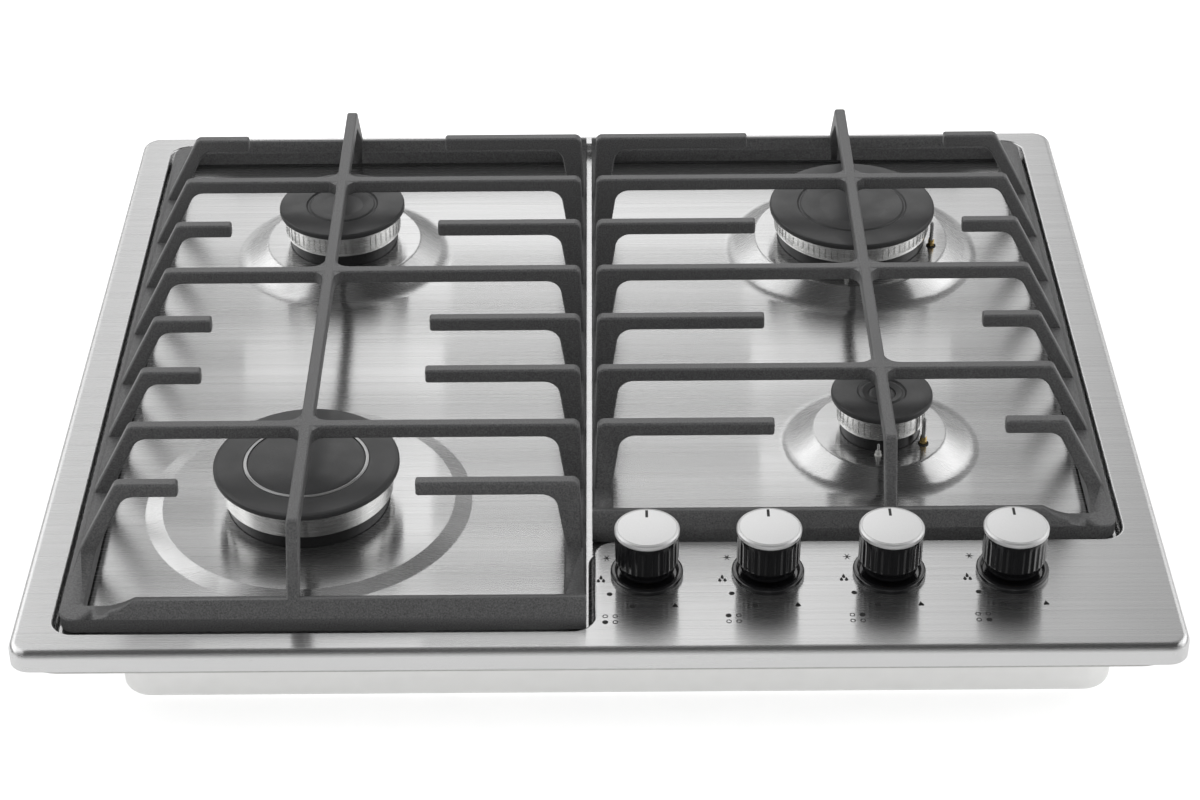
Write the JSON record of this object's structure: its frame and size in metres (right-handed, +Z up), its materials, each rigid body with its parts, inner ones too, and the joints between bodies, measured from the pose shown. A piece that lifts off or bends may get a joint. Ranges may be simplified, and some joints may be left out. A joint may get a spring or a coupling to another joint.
{
  "type": "built-in gas cooktop",
  "caption": "Built-in gas cooktop with a brushed steel plate, burners under two cast-iron grates, and push-and-turn knobs at the front right.",
  "frame": {"origin": "centre of the plate's outline, at the underside of the burner box", "axes": "+X to the right, +Y to the rear, +Z up; the knobs are at the front right"},
  "size_m": [0.58, 0.52, 0.0985],
  "materials": {
    "stainless": "brushed, satin",
    "zinc_sheet": "plain galvanised sheet",
    "seal_foam": "matt closed-cell strip",
    "foot_rubber": "matt",
    "cast_iron": "fine grained matt enamel",
    "enamel": "satin black enamel",
    "cup_metal": "dark, slightly rough",
    "burner_alloy": "machined",
    "trim_chrome": "polished",
    "brass": "turned",
    "steel": "plain",
    "ceramic": "glazed, pale",
    "knob_black": "gloss",
    "knob_silver": "satin",
    "bezel_black": "satin",
    "tube_alloy": "plain drawn tube",
    "housing": "pale moulded",
    "switch_black": "moulded"
  },
  "bodies": {
    "cooktop": {"top_plate": "stainless", "worktop_seal": "seal_foam", "burner_box": "zinc_sheet", "box_nuts": "steel", "gas_injectors": "brass", "cup_nuts": "steel", "spark_insulators": "ceramic", "spark_pins": "steel", "flame_sensors": "steel", "sensor_nuts": "brass", "knob_bezels": "bezel_black", "ignition_switches": "switch_black", "gas_manifold": "tube_alloy", "manifold_saddles": "zinc_sheet", "gas_inlet": "brass", "ignition_module": "housing", "terminal_block": "housing", "mains_gland": "switch_black", "burner_cup_front_left": "cup_metal", "supply_pipe_front_left": "tube_alloy", "burner_cup_rear_left": "cup_metal", "supply_pipe_rear_left": "tube_alloy", "burner_cup_rear_right": "cup_metal", "supply_pipe_rear_right": "tube_alloy", "burner_cup_front_right": "cup_metal", "supply_pipe_front_right": "tube_alloy", "valve_body_1": "brass", "valve_body_2": "brass", "valve_body_3": "brass", "valve_body_4": "brass"},
    "grate_left": {"grate_left": "cast_iron", "grate_left_feet": "foot_rubber"},
    "grate_right": {"grate_right": "cast_iron", "grate_right_feet": "foot_rubber"},
    "ring_front_left": {"flame_ring_front_left": "burner_alloy"},
    "cap_front_left": {"burner_cap_front_left": "enamel", "cap_trim_front_left": "trim_chrome"},
    "ring_rear_left": {"flame_ring_rear_left": "burner_alloy"},
    "cap_rear_left": {"burner_cap_rear_left": "enamel"},
    "ring_rear_right": {"flame_ring_rear_right": "burner_alloy"},
    "cap_rear_right": {"burner_cap_rear_right": "enamel"},
    "ring_front_right": {"flame_ring_front_right": "burner_alloy"},
    "cap_front_right": {"burner_cap_front_right": "enamel"},
    "inner_cap": {"inner_cap_front_left": "enamel"},
    "push_1": {"return_spring_1": "steel"},
    "knob_1": {"knob_body_1": "knob_black", "knob_face_1": "knob_silver", "valve_shaft_1": "brass"},
    "push_2": {"return_spring_2": "steel"},
    "knob_2": {"knob_body_2": "knob_black", "knob_face_2": "knob_silver", "valve_shaft_2": "brass"},
    "push_3": {"return_spring_3": "steel"},
    "knob_3": {"knob_body_3": "knob_black", "knob_face_3": "knob_silver", "valve_shaft_3": "brass"},
    "push_4": {"return_spring_4": "steel"},
    "knob_4": {"knob_body_4": "knob_black", "knob_face_4": "knob_silver", "valve_shaft_4": "brass"}
  },
  "joints": [
    {"name": "grate_left_lift", "type": "slide", "parent": "cooktop", "child": "grate_left", "axis": [0, 0, 1], "range_m": [0, 0.06]},
    {"name": "grate_right_lift", "type": "slide", "parent": "cooktop", "child": "grate_right", "axis": [0, 0, 1], "range_m": [0, 0.06]},
    {"name": "ring_front_left_lift", "type": "slide", "parent": "cooktop", "child": "ring_front_left", "axis": [0, 0, 1], "range_m": [0, 0.012]},
    {"name": "cap_front_left_lift", "type": "slide", "parent": "ring_front_left", "child": "cap_front_left", "axis": [0, 0, 1], "range_m": [0, 0.012]},
    {"name": "ring_rear_left_lift", "type": "slide", "parent": "cooktop", "child": "ring_rear_left", "axis": [0, 0, 1], "range_m": [0, 0.0065]},
    {"name": "cap_rear_left_lift", "type": "slide", "parent": "ring_rear_left", "child": "cap_rear_left", "axis": [0, 0, 1], "range_m": [0, 0.0065]},
    {"name": "ring_rear_right_lift", "type": "slide", "parent": "cooktop", "child": "ring_rear_right", "axis": [0, 0, 1], "range_m": [0, 0.0085]},
    {"name": "cap_rear_right_lift", "type": "slide", "parent": "ring_rear_right", "child": "cap_rear_right", "axis": [0, 0, 1], "range_m": [0, 0.0085]},
    {"name": "ring_front_right_lift", "type": "slide", "parent": "cooktop", "child": "ring_front_right", "axis": [0, 0, 1], "range_m": [0, 0.0065]},
    {"name": "cap_front_right_lift", "type": "slide", "parent": "ring_front_right", "child": "cap_front_right", "axis": [0, 0, 1], "range_m": [0, 0.0065]},
    {"name": "inner_cap_lift", "type": "slide", "parent": "cap_front_left", "child": "inner_cap", "axis": [0, 0, 1], "range_m": [0, 0.012]},
    {"name": "knob_1_push", "type": "slide", "parent": "cooktop", "child": "push_1", "axis": [0, 0, -1], "range_m": [0, 0.003], "stiffness_N_per_m": 1500, "springref_m": -0.002, "deforming": ["return_spring_1"]},
    {"name": "knob_1_turn", "type": "hinge", "parent": "push_1", "child": "knob_1", "pos_m": [0.0245, -0.1995, 0.07], "axis": [0, 0, 1], "range_deg": [0, 210]},
    {"name": "knob_2_push", "type": "slide", "parent": "cooktop", "child": "push_2", "axis": [0, 0, -1], "range_m": [0, 0.003], "stiffness_N_per_m": 1500, "springref_m": -0.002, "deforming": ["return_spring_2"]},
    {"name": "knob_2_turn", "type": "hinge", "parent": "push_2", "child": "knob_2", "pos_m": [0.08561, -0.1995, 0.07], "axis": [0, 0, 1], "range_deg": [0, 210]},
    {"name": "knob_3_push", "type": "slide", "parent": "cooktop", "child": "push_3", "axis": [0, 0, -1], "range_m": [0, 0.003], "stiffness_N_per_m": 1500, "springref_m": -0.002, "deforming": ["return_spring_3"]},
    {"name": "knob_3_turn", "type": "hinge", "parent": "push_3", "child": "knob_3", "pos_m": [0.14681, -0.1995, 0.07], "axis": [0, 0, 1], "range_deg": [0, 210]},
    {"name": "knob_4_push", "type": "slide", "parent": "cooktop", "child": "push_4", "axis": [0, 0, -1], "range_m": [0, 0.003], "stiffness_N_per_m": 1500, "springref_m": -0.002, "deforming": ["return_spring_4"]},
    {"name": "knob_4_turn", "type": "hinge", "parent": "push_4", "child": "knob_4", "pos_m": [0.209, -0.1995, 0.07], "axis": [0, 0, 1], "range_deg": [0, 210]}
  ]
}
